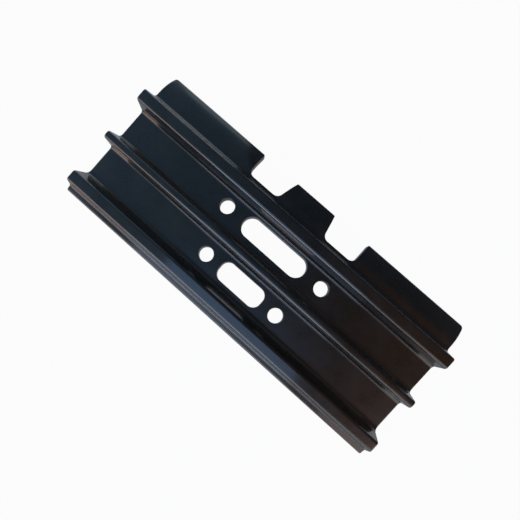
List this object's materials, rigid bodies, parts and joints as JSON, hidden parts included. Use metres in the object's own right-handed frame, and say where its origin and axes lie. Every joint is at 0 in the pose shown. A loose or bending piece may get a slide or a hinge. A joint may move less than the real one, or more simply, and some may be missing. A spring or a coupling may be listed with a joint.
{
  "type": "excavator track shoe",
  "caption": "Flat steel plate with long parallel grouser ribs, a drooping notched lip, a raised rear edge, mud slots and bolt holes; bolts to a crawler's track links.",
  "frame": {"origin": "centre of the bolt pattern, on the flat underside where the track links sit", "axes": "+X along the grousers, +Y to the drooping notched lip, +Z to the grouser tips"},
  "size_m": [0.5, 0.2089, 0.042],
  "materials": {
    "black_paint_on_rolled_steel": "semi-gloss black paint over hot-rolled steel"
  },
  "bodies": {
    "root": {"track_shoe": "black_paint_on_rolled_steel"}
  },
  "joints": []
}
